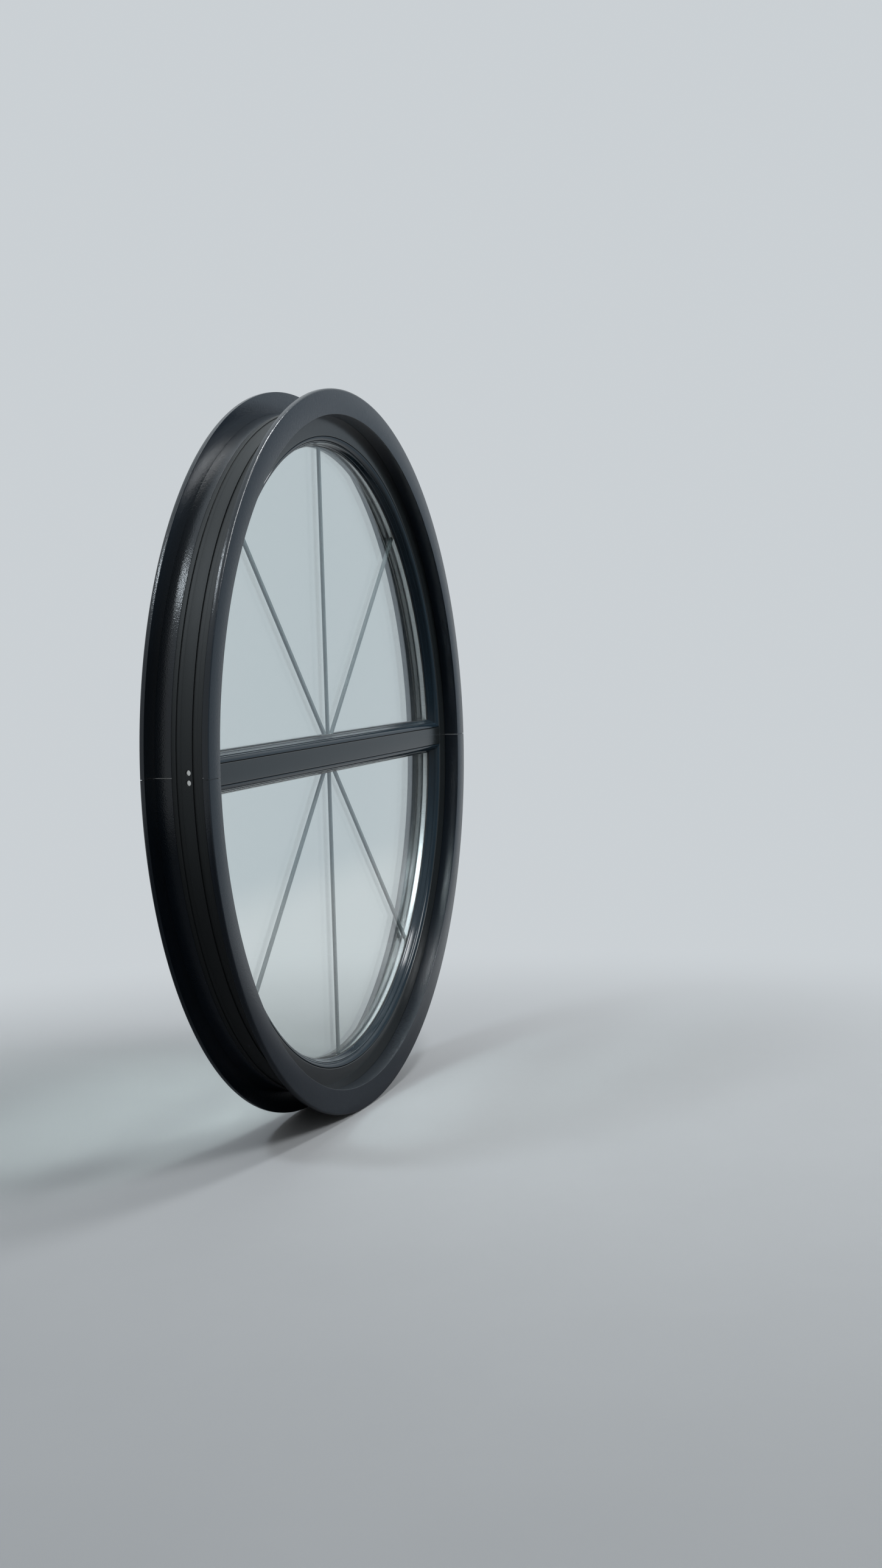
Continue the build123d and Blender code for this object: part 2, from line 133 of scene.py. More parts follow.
def rounded(corners):
    """A closed outline in which each corner with a third number is rounded to that radius."""
    outline = []
    for i, corner in enumerate(corners):
        here = Vector(corner[:2])
        if len(corner) == 2:
            outline.append(here)
            continue
        back = Vector(corners[i - 1][:2]) - here
        ahead = Vector(corners[(i + 1) % len(corners)][:2]) - here
        half = back.angle(ahead) / 2
        reach = min(corner[2] / math.tan(half), CORNER_SHARE * min(back.length, ahead.length))
        radius = reach * math.tan(half)
        centre = here + (back.normalized() + ahead.normalized()).normalized() * radius / math.sin(half)
        first = here + back.normalized() * reach - centre
        last = here + ahead.normalized() * reach - centre
        turn = first.angle_signed(last)
        for step in range(CORNER_STEPS + 1):
            spoke = first.copy()
            spoke.rotate(Matrix.Rotation(-turn * step / CORNER_STEPS, 2))
            outline.append(centre + spoke)
    return outline


def add_object(name, data):
    made = bpy.data.objects.new(name, data)
    bpy.context.scene.collection.objects.link(made)
    return made


def piece(name, points, faces, lower=False):
    """A mesh from points in millimetres. The lower half's piece is the upper one turned about Y."""
    turn = -MM if lower else MM
    mesh = bpy.data.meshes.new(name)
    mesh.from_pydata([(x * turn, y * MM, z * turn) for x, y, z in points], [], faces)
    cleaned = bmesh.new()
    cleaned.from_mesh(mesh)
    bmesh.ops.remove_doubles(cleaned, verts=cleaned.verts, dist=MERGE_DISTANCE)
    bmesh.ops.recalc_face_normals(cleaned, faces=cleaned.faces)
    cleaned.to_mesh(mesh)
    cleaned.free()
    mesh.polygons.foreach_set("use_smooth", [True] * len(mesh.polygons))
    mesh.set_sharp_from_angle(angle=SHARP_ANGLE)
    return add_object(name, mesh)


def swept(name, columns, closed=False, lower=False):
    """Skins a row of equal outlines, and closes both ends unless the row itself is closed."""
    count, rows = len(columns[0]), len(columns)
    points = [point for column in columns for point in column]
    faces = []
    for i in range(rows if closed else rows - 1):
        a, b = i * count, (i + 1) % rows * count
        faces += [(a + k, a + (k + 1) % count, b + (k + 1) % count, b + k) for k in range(count)]
    if not closed:
        faces.append(tuple(range(count)))
        faces.append(tuple(range((rows - 1) * count, rows * count)))
    return piece(name, points, faces, lower)


def joined(name, parts):
    """Several meshes as one piece."""
    mixed = bmesh.new()
    for part in parts:
        mixed.from_mesh(part.data)
        bpy.data.objects.remove(part)
    mesh = bpy.data.meshes.new(name)
    mixed.to_mesh(mesh)
    mixed.free()
    mesh.set_sharp_from_angle(angle=SHARP_ANGLE)
    return add_object(name, mesh)


def cut_away(target, cutters):
    """Cuts closed pieces out of another and deletes them."""
    bpy.context.view_layer.update()
    for cutter in cutters:
        cut = target.modifiers.new("cut", "BOOLEAN")
        cut.operation, cut.solver, cut.object = "DIFFERENCE", "EXACT", cutter
    held = target.evaluated_get(bpy.context.evaluated_depsgraph_get())
    mesh = bpy.data.meshes.new_from_object(held)
    target.modifiers.clear()
    target.data = mesh
    mesh.set_sharp_from_angle(angle=SHARP_ANGLE)
    for cutter in cutters:
        bpy.data.objects.remove(cutter)


def on_circle(radius, depth, angle):
    return (radius * math.cos(angle), depth, radius * math.sin(angle))


def step_angle(start, i):
    """The angle of a step on the way from a start angle over the top to its mirror image."""
    return start + (math.pi - 2 * start) * i / HALF_TURN_STEPS


def corner_angle(inset):
    """Where a line at this inset turns from the arch onto the straight edge."""
    return math.asin((SEAT_HEIGHT + inset) / (SEAT - inset))


def ring_half(name, section, lower, gap=0.0):
    """Sweeps (radius, depth) points over half a turn, and stops a gap short of the level line."""
    columns = [
        [on_circle(radius, depth, step_angle(gap / radius, i)) for radius, depth in section]
        for i in range(HALF_TURN_STEPS + 1)
    ]
    return swept(name, columns, lower=lower)


def arch_columns(section):
    return [
        [on_circle(SEAT - inset, depth, step_angle(corner_angle(inset), i)) for inset, depth in section]
        for i in range(HALF_TURN_STEPS + 1)
    ]


def arch_strip(name, section, lower):
    """Sweeps (inset, depth) points round the arch from mitre to mitre."""
    return swept(name, arch_columns(section), lower=lower)


def base_strip(name, section, lower):
    """Sweeps (inset, depth) points along the straight edge from mitre to mitre."""
    columns = []
    for side in (-1, 1):
        column = []
        for inset, depth in section:
            reach = (SEAT - inset) * math.cos(corner_angle(inset))
            column.append((side * reach, depth, SEAT_HEIGHT + inset))
        columns.append(column)
    return swept(name, columns, lower=lower)


def edge_loop(name, section, lower):
    """Sweeps (inset, depth) points right round the half-round opening."""
    return swept(name, arch_columns(section), closed=True, lower=lower)


def half_round_pane(name, front, back, lower):
    """A half-round sheet of glass with its sharp edges taken off."""
    outlines = []
    for depth, extra in ((front, ARRIS), (front + ARRIS, 0), (back - ARRIS, 0), (back, ARRIS)):
        inset = EDGE_CLEARANCE + extra
        start = corner_angle(inset)
        outlines.append([
            on_circle(SEAT - inset, depth, step_angle(start, i)) for i in range(HALF_TURN_STEPS + 1)
        ])
    return swept(name, outlines, lower=lower)


def hole_cutter(radius, start, end, height):
    """A cylinder along X, for a screw's hole."""
    turns = [math.tau * k / HOLE_STEPS for k in range(HOLE_STEPS)]
    ring = [(math.cos(turn) * radius, math.sin(turn) * radius) for turn in turns]
    return swept("cutter", [[(x, SCREW_PLACE + u, height + v) for u, v in ring] for x in (start, end)])


def slot_cutter(turn):
    """The hole of a drain slot through the lower upstand, at an angle from the lowest point."""
    reach = SLOT_LENGTH / 2
    outline = rounded([
        (-reach, 0, SLOT_CORNER), (reach, 0, SLOT_CORNER),
        (reach, SLOT_HEIGHT, SLOT_CORNER), (-reach, SLOT_HEIGHT, SLOT_CORNER),
    ])
    columns = []
    for depth in (UPSTAND - SLOT_OVERRUN, FRAME_BACK + SLOT_OVERRUN):
        columns.append([
            on_circle(SEAT - up, depth, -math.pi / 2 + turn + along / SEAT) for along, up in outline
        ])
    return swept("cutter", columns)


# Sections, drawn as (radius, depth) or (inset, depth). A third number rounds that corner.

def casing_section(face, inward):
    back = face + inward * CASING_THICKNESS
    rebate = back - inward * REBATE_DEPTH
    return rounded([
        (CASING_INNER, face, 0.8),
        (CASING_OUTER, face, CASING_ROUNDING),
        (CASING_OUTER, back, 0.6),
        (BARREL, back, 0.3),
        (BARREL, rebate),
        (CASING_INNER, rebate),
    ])


def liner_section(face, inward, end):
    start = face + inward * (CASING_THICKNESS - REBATE_DEPTH)
    return rounded([(CASING_INNER, start), (BARREL, start), (BARREL, end, 0.3), (CASING_INNER, end, 0.5)])


def frame_section():
    """An arch's section: seat with the bead's groove, upstand, chamfer and two channels outside."""
    sight, groove_bed, channel_bed = SEAT - SIGHT_INSET, SEAT + GROOVE_DEPTH, BARREL - CHANNEL_DEPTH
    near_edge, far_edge = CHANNEL_SETBACK, CHANNEL_SETBACK + CHANNEL_WIDTH
    channels = []
    for first, last in (
        (FRAME_BACK - near_edge, FRAME_BACK - far_edge), (FRAME_FRONT + far_edge, FRAME_FRONT + near_edge),
    ):
        channels += [
            (BARREL, first, 0.5), (channel_bed, first, 0.3), (channel_bed, last, 0.3), (BARREL, last, 0.5),
        ]
    return rounded([
        (BARREL, FRAME_FRONT, 0.5),
        (SEAT, FRAME_FRONT, WEB_ROUNDING),
        (SEAT, GROOVE_FRONT), (groove_bed, GROOVE_FRONT), (groove_bed, GROOVE_BACK), (SEAT, GROOVE_BACK),
        (SEAT, UPSTAND),
        (sight, UPSTAND, 0.5),
        (sight, FRAME_BACK - FLANGE_CHAMFER, 1.2),
        (sight + FLANGE_CHAMFER, FRAME_BACK, 1.2),
        (BARREL, FRAME_BACK, 0.8),
        *channels,
    ])


def circle_through(a, b, c):
    """Centre and radius of the circle through three points."""
    (ax, ay), (bx, by), (cx, cy) = a, b, c
    d = 2 * (ax * (by - cy) + bx * (cy - ay) + cx * (ay - by))
    sa, sb, sc = ax * ax + ay * ay, bx * bx + by * by, cx * cx + cy * cy
    x = (sa * (by - cy) + sb * (cy - ay) + sc * (ay - by)) / d
    y = (sa * (cx - bx) + sb * (ax - cx) + sc * (bx - ax)) / d
    return (x, y), math.hypot(ax - x, ay - y)


def bead_bulge():
    """The bead's round part as points on a circle, from the nose almost to the shoulder."""
    nose, shoulder = ((inset, FRAME_FRONT + depth) for inset, depth in (BEAD_NOSE, BEAD_SHOULDER))
    middle = tuple(near + share * (far - near) for near, far, share in zip(nose, shoulder, BULGE_SHARE))
    centre, radius = circle_through(nose, middle, shoulder)
    first = math.atan2(nose[1] - centre[1], nose[0] - centre[0])
    last = math.atan2(shoulder[1] - centre[1], shoulder[0] - centre[0])
    points = []
    for i in range(BULGE_STEPS):
        angle = first + (last - first) * i / BULGE_STEPS
        points.append((centre[0] + radius * math.cos(angle), centre[1] + radius * math.sin(angle)))
    return points


def bead_section():
    """The bead with its foot: nose, round part, ridge, flat and lip."""
    nose_start = FRAME_FRONT + BEAD_NOSE[1] + NOSE_CHAMFER
    foot_front, foot_back = GROOVE_FRONT + FOOT_PLAY, GROOVE_BACK - FOOT_PLAY
    foot_tip = FOOT_PLAY - GROOVE_DEPTH
    bulge = bead_bulge()
    moulding = [(inset, FRAME_FRONT + depth, soft) for inset, depth, soft in BEAD_RIDGE + BEAD_FLAT_END]
    return rounded([
        (0.0, GROOVE_FRONT), (BEAD_PLAY, GROOVE_FRONT), (BEAD_PLAY, nose_start, 0.8), (*bulge[0], 1.2),
        *bulge[1:],
        *moulding,
        (SIGHT_INSET, BEAD_BACK, 0.4), (0.0, BEAD_BACK),
        (0.0, foot_back), (foot_tip, foot_back), (foot_tip, foot_front), (0.0, foot_front),
    ])


def gasket_section(front, back):
    """A glazing seal: a solid foot under the bead or upstand and a rounded lip beyond it."""
    lip, foot = SIGHT_INSET + GASKET_LIP, SIGHT_INSET - GASKET_FOOT
    return rounded([(foot, front), (lip, front, 0.9), (lip, back, 0.9), (foot, back)])


def spacer_section():
    shoulder = SPACER_INSET + SPACER_CORNER
    return rounded([
        (SPACER_INSET, CAVITY_FRONT + SPACER_CORNER, 0.4), (shoulder, CAVITY_FRONT, 0.4),
        (CAVITY_INSET, CAVITY_FRONT, 0.5), (CAVITY_INSET, CAVITY_BACK, 0.5),
        (shoulder, CAVITY_BACK, 0.4), (SPACER_INSET, CAVITY_BACK - SPACER_CORNER, 0.4),
    ])


# Pieces

finishes = {entry["slot"]: [] for entry in frame["record"]["materials"]}


def put(made, slot, *nodes):
    """Lets a piece ride on the window, take a slot's finish and stand for its nodes."""
    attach(made, "root")
    if nodes:
        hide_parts(*nodes)
    finishes[slot].append(made)


def transom_bar():
    """The transom's web and its flange against the outer seals, each drawn as (depth, height)."""
    top, bed = SEAT_HEIGHT, SEAT_HEIGHT - GROOVE_DEPTH
    web = rounded([
        (FRAME_FRONT, -top, WEB_ROUNDING), (FRAME_FRONT, top, WEB_ROUNDING),
        (GROOVE_FRONT, top), (GROOVE_FRONT, bed), (GROOVE_BACK, bed), (GROOVE_BACK, top),
        (UPSTAND, top), (UPSTAND, -top),
        (GROOVE_BACK, -top), (GROOVE_BACK, -bed), (GROOVE_FRONT, -bed), (GROOVE_FRONT, -top),
    ])
    sight, low_sight = SEAT_HEIGHT + SIGHT_INSET, SEAT_HEIGHT + SIGHT_INSET - FLANGE_CHAMFER
    chamfer_start = FRAME_BACK - FLANGE_CHAMFER
    flange = rounded([
        (UPSTAND, -sight, 0.5), (UPSTAND, sight, 0.5),
        (chamfer_start, sight, 1.2), (FRAME_BACK, low_sight, 1.2),
        (FRAME_BACK, -low_sight, 1.2), (chamfer_start, -sight, 1.2),
    ])
    shells = []
    for outline, radius in ((web, SEAT), (flange, SEAT - SIGHT_INSET)):
        columns = []
        for side in (-1, 1):
            columns.append([
                (side * math.sqrt(radius * radius - height * height), depth, height)
                for depth, height in outline
            ])
        shells.append(swept("transom_bar", columns))
    return joined("transom_bar", shells)


def glazing_bar(name, tilt, spread, lower):
    """One slim bar between the panes, from its plug above the straight edge to the one at the arch."""
    wide, deep, edge, soft = BAR_HALF_WIDTH, BAR_HALF_DEPTH, BAR_CHAMFER, 0.4
    outline = rounded([
        (edge - wide, -deep, soft), (wide - edge, -deep, soft),
        (wide, edge - deep, soft), (wide, deep - edge, soft),
        (wide - edge, deep, soft), (edge - wide, deep, soft),
        (-wide, deep - edge, soft), (-wide, edge - deep, soft),
    ])
    low, far = SEAT_HEIGHT + CAVITY_INSET + STRAIGHT_FOOT, SEAT - CAVITY_INSET - ARCH_FOOT
    sine, cosine = math.sin(tilt), math.cos(tilt)
    start = math.copysign(spread, tilt) if tilt else 0.0
    columns = [[], []]
    for across, back in outline:
        x, z = start + across * cosine, SEAT_HEIGHT - across * sine
        along = x * sine + z * cosine
        far_end = -along + math.sqrt(along * along + far * far - x * x - z * z)
        for column, run in zip(columns, ((low - z) / cosine, far_end)):
            column.append((x + run * sine, BAR_MIDDLE + back, z + run * cosine))
    return swept(name, columns, lower=lower)


def joint_block(name, side, radii, depths):
    """A block in the joint on the level line, between two radii and two depths."""
    (near, far), (front, back), high = radii, depths, JOINT_GAP - JOINT_PLAY
    outline = [(near, front), (far, front), (far, back), (near, back)]
    return swept(name, [[(side * x, y, z) for x, y in outline] for z in (-high, high)])


def joint_strip(name, side, face, inward, end):
    """The pale cut ends of a liner, a hair below its bore, seen in the joint."""
    radii = (CASING_INNER + STRIP_SHY, BARREL - STRIP_SHY)
    return joint_block(name, side, radii, (face + inward * STRIP_COVER, end))


def joint_tongue(name, side, face, inward):
    """The loose tongue that lines up the two halves of a casing and closes their joint."""
    radii = (BARREL + TONGUE_START, CASING_OUTER - TONGUE_END)
    depths = (face + inward * TONGUE_COVER, face + inward * (CASING_THICKNESS - TONGUE_BACK))
    return joint_block(name, side, radii, depths)


def dress_casings(half, lower):
    """Half of each ring casing and the liner behind it."""
    for side, face, inward, end in CASING_SIDES:
        casing = ring_half(f"{side}_ring_{half}", casing_section(face, inward), lower, gap=JOINT_GAP)
        put(casing, "casing_foil", f"{side}_casing_{half}")
        liner = ring_half(f"{side}_reveal_{half}", liner_section(face, inward, end), lower, gap=JOINT_GAP)
        put(liner, "casing_foil", f"{side}_liner_{half}")


def dress_arch(half, lower):
    """One arch of the frame with its screw holes, and in the lower one the drain slots."""
    arch = ring_half(f"frame_{half}", frame_section(), lower)
    cutters = []
    for sign in (-1, 1):
        for height in SCREW_HEIGHTS:
            for radius, start, end in (HEAD_HOLE, SHANK_HOLE):
                cutters.append(hole_cutter(radius, sign * start, sign * end, height))
        if lower:
            cutters.append(slot_cutter(sign * SLOT_TURN))
    cut_away(arch, cutters)
    put(arch, "frame_foil", f"frame_{half}_arch")


def dress_glazing(half, lower):
    """Beads, seals, panes, spacer and bars of one half-round opening."""
    put(arch_strip(f"{half}_arch_bead", bead_section(), lower), "bead_foil", f"{half}_curved_bead")
    put(base_strip(f"{half}_flat_bead", bead_section(), lower), "bead_foil", f"{half}_straight_bead")
    for seal, front, back in (
        ("inner", GLASS_FRONT - GASKET_THICKNESS, GLASS_FRONT), ("outer", GLASS_BACK, UPSTAND),
    ):
        lip = edge_loop(f"{half}_{seal}_seal", gasket_section(front, back), lower)
        put(lip, "gasket_rubber", f"{half}_{seal}_gasket")
    for pane, front, back in (("inner", GLASS_FRONT, CAVITY_FRONT), ("outer", CAVITY_BACK, GLASS_BACK)):
        sheet = half_round_pane(f"{half}_{pane}_glass", front, back, lower)
        put(sheet, "clear_glass", f"{half}_{pane}_pane")
    put(edge_loop(f"{half}_spacer_bar", spacer_section(), lower), "spacer_aluminium", f"{half}_spacer")
    for bar, tilt in BAR_TILT.items():
        made = glazing_bar(f"{half}_glazing_bar_{bar}", -tilt if lower else tilt, BAR_SPREAD[half], lower)
        put(made, "bar_paint", f"{half}_bar_{bar}")


def dress_joints():
    """The pale strips and the loose tongues in the joints at both ends of the level line."""
    for end_name, sign in (("left", -1), ("right", 1)):
        for side, face, inward, end in CASING_SIDES:
            put(joint_strip(f"{side}_joint_{end_name}", sign, face, inward, end), "white_plastic")
        for side, face, inward, end in CASING_SIDES:
            put(joint_tongue(f"{side}_tongue_{end_name}", sign, face, inward), "casing_foil")


def gather_solids():
    """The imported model's own solids that still show get the finish of their slot."""
    for part in frame["record"]["subparts"]:
        solid = frame["nodes"][part["node"]]
        if not solid.hide_render:
            finishes[part["material_slot"]].append(solid)


def dress_window():
    """Every piece of the upper and of the lower half, the joints between them and the transom."""
    for half, lower in (("upper", False), ("lower", True)):
        dress_casings(half, lower)
        dress_arch(half, lower)
        dress_glazing(half, lower)
    dress_joints()
    put(transom_bar(), "frame_foil", "transom")
    gather_solids()


# Shader nodes

class Nodes:
    """Short ways to add nodes to a tree and to join their sockets."""

    def __init__(self, tree):
        self.tree = tree

    def add(self, kind, **settings):
        made = self.tree.nodes.new("ShaderNode" + kind)
        for key, value in settings.items():
            setattr(made, key, value)
        return made

    def join(self, source, target):
        self.tree.links.new(source, target)

    def fill(self, socket, value):
        """Sets a plain number or colour, or joins another socket."""
        if isinstance(value, (int, float, tuple)):
            socket.default_value = value
        else:
            self.join(value, socket)

    def place(self):
        """Where a point lies on the object, in metres."""
        return self.add("TexCoord").outputs["Object"]

    def split(self, source):
        made = self.add("SeparateXYZ")
        self.join(source, made.inputs[0])
        return made.outputs

    def vector(self, **parts):
        made = self.add("CombineXYZ")
        for label, value in parts.items():
            self.join(value, made.inputs[label])
        return made.outputs[0]

    def math(self, operation, *values, clamp=False):
        made = self.add("Math", operation=operation, use_clamp=clamp)
        for socket, value in zip(made.inputs, values):
            self.fill(socket, value)
        return made.outputs[0]

    def plus(self, base, value, share, clamp=False):
        """The base plus a share of another value."""
        return self.math("MULTIPLY_ADD", value, share, base, clamp=clamp)

    def between(self, factor, first, second):
        """A colour between two others."""
        made = self.add("Mix", data_type="RGBA")
        self.fill(made.inputs["Factor"], factor)
        for label, value in (("A_Color", first), ("B_Color", second)):
            self.fill(next(socket for socket in made.inputs if socket.identifier == label), value)
        return next(socket for socket in made.outputs if socket.identifier == "Result_Color")

    def shaded(self, colour, factor):
        """A colour made lighter or darker by a factor."""
        made = self.add("VectorMath", operation="SCALE")
        self.join(colour, made.inputs[0])
        self.join(factor, made.inputs["Scale"])
        return made.outputs[0]

    def noise(self, place, scale, detail=3.0, rough=0.55):
        made = self.add("TexNoise")
        self.join(place, made.inputs["Vector"])
        for label, value in (("Scale", scale), ("Detail", detail), ("Roughness", rough)):
            self.fill(made.inputs[label], value)
        return made.outputs["Fac"]

    def ramp(self, value, start, full):
        """Runs softly from 0 at the start to 1 where it is full."""
        made = self.add("MapRange", interpolation_type="SMOOTHSTEP")
        self.join(value, made.inputs["Value"])
        made.inputs["From Min"].default_value = start
        made.inputs["From Max"].default_value = full
        return made.outputs[0]

    def blend(self, factor, first, second, output):
        """Ends the tree in a mix of two shaders."""
        made = self.add("MixShader")
        for source, socket in zip((factor, first, second), made.inputs):
            self.join(source, socket)
        self.join(made.outputs[0], self.tree.nodes[output].inputs["Surface"])


def group(name, inputs, outputs):
    """A node group with named sockets: inputs as {name: default}, outputs as {name: kind}."""
    tree = bpy.data.node_groups.new(name, "ShaderNodeTree")
    for label, value in inputs.items():
        kind = "Float" if isinstance(value, float) else ("Vector" if len(value) == 3 else "Color")
        socket = tree.interface.new_socket(label, in_out="INPUT", socket_type="NodeSocket" + kind)
        socket.default_value = value
    for label, kind in outputs.items():
        tree.interface.new_socket(label, in_out="OUTPUT", socket_type="NodeSocket" + kind)
    given, result = tree.nodes.new("NodeGroupInput"), tree.nodes.new("NodeGroupOutput")
    return tree, Nodes(tree), given.outputs, result.inputs


# Effects, each made once as a group that finishes place with their own values

SURFACE_OUTPUTS = {"Colour": "Color", "Roughness": "Float", "Height": "Float"}
DUST = (0.34, 0.34, 0.33, 1.0)
DULLED_METAL, MARKED_METAL = (0.45, 0.46, 0.47, 1.0), (0.34, 0.36, 0.37, 1.0)


def foil_grain():
    """The film on the profiles: fine emboss, faint cloudiness and a thin film of dust on level faces."""
    tree, net, given, result = group(
        "foil_grain",
        {"Colour": (0.024, 0.029, 0.034, 1.0), "Grain Scale": 430.0, "Gloss": 0.25, "Dust": 0.06},
        SURFACE_OUTPUTS,
    )
    place = net.place()
    emboss = net.noise(place, given["Grain Scale"], detail=2.0, rough=0.6)
    cloud = net.noise(place, scale=7.0)
    fine = net.noise(place, scale=160.0, detail=2.0)
    normal = net.split(net.add("NewGeometry").outputs["Normal"])
    facing_up = net.math("POWER", net.math("MAXIMUM", normal["Z"], 0.0), 3.0)
    dust = net.math("MULTIPLY", facing_up, given["Dust"])
    dust = net.math("MULTIPLY", dust, net.math("ADD", fine, cloud), clamp=True)
    shade = net.plus(net.plus(0.86, cloud, share=0.22), emboss, share=0.12)
    net.join(net.between(dust, net.shaded(given["Colour"], shade), DUST), result["Colour"])
    rough = net.plus(net.plus(given["Gloss"], cloud, share=0.06), emboss, share=0.06)
    net.join(net.plus(rough, dust, share=0.5), result["Roughness"])
    net.join(net.plus(emboss, fine, share=0.35), result["Height"])
    return tree


def moulded_grain():
    """Fine unevenness of moulded plastic, rubber, paint and cast metal."""
    tree, net, given, result = group(
        "moulded_grain",
        {"Colour": (0.5, 0.5, 0.5, 1.0), "Grain Scale": 400.0, "Gloss": 0.4, "Variation": 0.2},
        SURFACE_OUTPUTS,
    )
    place = net.place()
    grain = net.noise(place, given["Grain Scale"], rough=0.6)
    cloud = net.noise(place, scale=18.0)
    spread = net.math("SUBTRACT", net.math("ADD", grain, cloud), 1.0)
    shade = net.plus(1.0, spread, given["Variation"])
    net.join(net.shaded(given["Colour"], shade), result["Colour"])
    net.join(net.plus(given["Gloss"], spread, share=0.22, clamp=True), result["Roughness"])
    net.join(grain, result["Height"])
    return tree


def crimp_marks():
    """Faint cross marks that rolling leaves along a spacer, in patches, with dulled metal between them."""
    tree, net, given, result = group(
        "crimp_marks",
        {"Colour": (0.78, 0.79, 0.80, 1.0), "Marks Per Turn": 900.0, "Gloss": 0.22},
        SURFACE_OUTPUTS,
    )
    parts = net.split(net.place())
    turn = net.math("ARCTAN2", parts["Z"], parts["X"])
    along = net.math("DIVIDE", net.math("MULTIPLY", turn, given["Marks Per Turn"]), math.tau)
    line = net.vector(X=along)
    uneven = net.noise(line, scale=0.7, detail=2.0)
    patches = net.noise(line, scale=0.06, detail=2.0)
    wave = net.math("SINE", net.math("MULTIPLY", along, math.tau))
    ticks = net.plus(0.5, wave, share=0.5)
    strong = net.plus(-1.2, uneven, share=3.0, clamp=True)
    present = net.plus(-1.3, patches, share=3.2, clamp=True)
    mark = net.math("MULTIPLY", net.math("MULTIPLY", ticks, strong), present, clamp=True)
    dulled = net.between(net.math("MULTIPLY", patches, 0.24), given["Colour"], DULLED_METAL)
    net.join(net.between(mark, dulled, MARKED_METAL), result["Colour"])
    rough = net.plus(given["Gloss"], patches, share=0.2)
    net.join(net.plus(rough, mark, share=0.2), result["Roughness"])
    net.join(net.math("MULTIPLY", mark, -1.0), result["Height"])
    return tree


def frame_marks():
    """Masks for the frame's arches: the weld on the level line, and the bare back that carries no foil."""
    tree, net, given, result = group(
        "frame_marks",
        {"Inner Radius": (SEAT + 1.0) * MM, "Half Width": 0.5 * MM, "Back Radius": (BARREL - 4.0) * MM},
        {"Weld": "Float", "Back": "Float"},
    )
    parts = net.split(net.place())
    near = net.math("LESS_THAN", net.math("ABSOLUTE", parts["Z"]), given["Half Width"])
    far = net.math("GREATER_THAN", net.math("ABSOLUTE", parts["X"]), given["Inner Radius"])
    net.join(net.math("MULTIPLY", near, far), result["Weld"])
    radius = net.add("VectorMath", operation="LENGTH")
    net.join(net.vector(X=parts["X"], Z=parts["Z"]), radius.inputs[0])
    net.join(net.math("GREATER_THAN", radius.outputs["Value"], given["Back Radius"]), result["Back"])
    return tree


def zinc_spangle():
    """The frosted crystals of a zinc coat."""
    tree, net, given, result = group(
        "zinc_spangle",
        {"Colour": (0.55, 0.57, 0.58, 1.0), "Spangle Scale": 90.0, "Gloss": 0.36},
        SURFACE_OUTPUTS,
    )
    place = net.place()
    cells = net.add("TexVoronoi")
    net.join(place, cells.inputs["Vector"])
    net.join(given["Spangle Scale"], cells.inputs["Scale"])
    tint = net.split(cells.outputs["Color"])
    net.join(net.shaded(given["Colour"], net.plus(0.8, tint["X"], share=0.3)), result["Colour"])
    net.join(net.plus(given["Gloss"], tint["Y"], share=0.2), result["Roughness"])
    net.join(net.noise(place, scale=500.0, detail=2.0), result["Height"])
    return tree


# Finishes

WELD_SCAR, BARE_BACK_ROUGHNESS = (0.014, 0.016, 0.018, 1.0), 0.4
GREENER_GLASS, CLEARER_GLASS = (0.955, 0.985, 0.972, 1.0), (0.965, 0.985, 0.978, 1.0)
LIGHT_THROUGH_GLASS, SMEAR_ROUGHNESS = (0.9, 0.93, 0.92, 1.0), 0.05


def node_material(name):
    made = bpy.data.materials.new(name)
    made.use_nodes = True
    return made, Nodes(made.node_tree), made.node_tree.nodes["Principled BSDF"]


def surface(name, effect, values, bump=0.2, distance=0.0002, **settings):
    """A material in which one effect feeds colour, roughness and relief."""
    made, net, shader = node_material(name)
    shared = net.add("Group", node_tree=effect)
    for label, value in values.items():
        shared.inputs[label].default_value = value
    net.join(shared.outputs["Colour"], shader.inputs["Base Color"])
    net.join(shared.outputs["Roughness"], shader.inputs["Roughness"])
    relief = net.add("Bump")
    relief.inputs["Strength"].default_value = bump
    relief.inputs["Distance"].default_value = distance
    net.join(shared.outputs["Height"], relief.inputs["Height"])
    net.join(relief.outputs[0], shader.inputs["Normal"])
    for label, value in settings.items():
        shader.inputs[label.replace("_", " ")].default_value = value
    return made


def mark_frame(material):
    """Darkens the thin scar where the frame's arches are welded, and makes their bare back matt."""
    net, shader = Nodes(material.node_tree), material.node_tree.nodes["Principled BSDF"]
    colour, roughness = shader.inputs["Base Color"], shader.inputs["Roughness"]
    foil_colour, foil_roughness = colour.links[0].from_socket, roughness.links[0].from_socket
    marks = net.add("Group", node_tree=frame_marks())
    net.join(net.between(marks.outputs["Weld"], foil_colour, WELD_SCAR), colour)
    net.join(net.plus(foil_roughness, marks.outputs["Back"], share=BARE_BACK_ROUGHNESS), roughness)


def float_glass():
    """Clear float glass with faint smears, which lets lamp light through to what is behind it."""
    made, net, shader = node_material("float_glass")
    shader.inputs["Transmission Weight"].default_value = 1.0
    shader.inputs["IOR"].default_value = 1.5
    smear = net.noise(net.place(), scale=4.0, detail=4.0)
    streak = net.math("SUBTRACT", smear, 0.5, clamp=True)
    net.join(net.math("MULTIPLY", streak, SMEAR_ROUGHNESS), shader.inputs["Roughness"])
    net.join(net.between(smear, GREENER_GLASS, CLEARER_GLASS), shader.inputs["Base Color"])
    clear = net.add("BsdfTransparent")
    clear.inputs["Color"].default_value = LIGHT_THROUGH_GLASS
    lamp_rays = net.add("LightPath").outputs["Is Shadow Ray"]
    net.blend(lamp_rays, shader.outputs[0], clear.outputs[0], "Material Output")
    return made


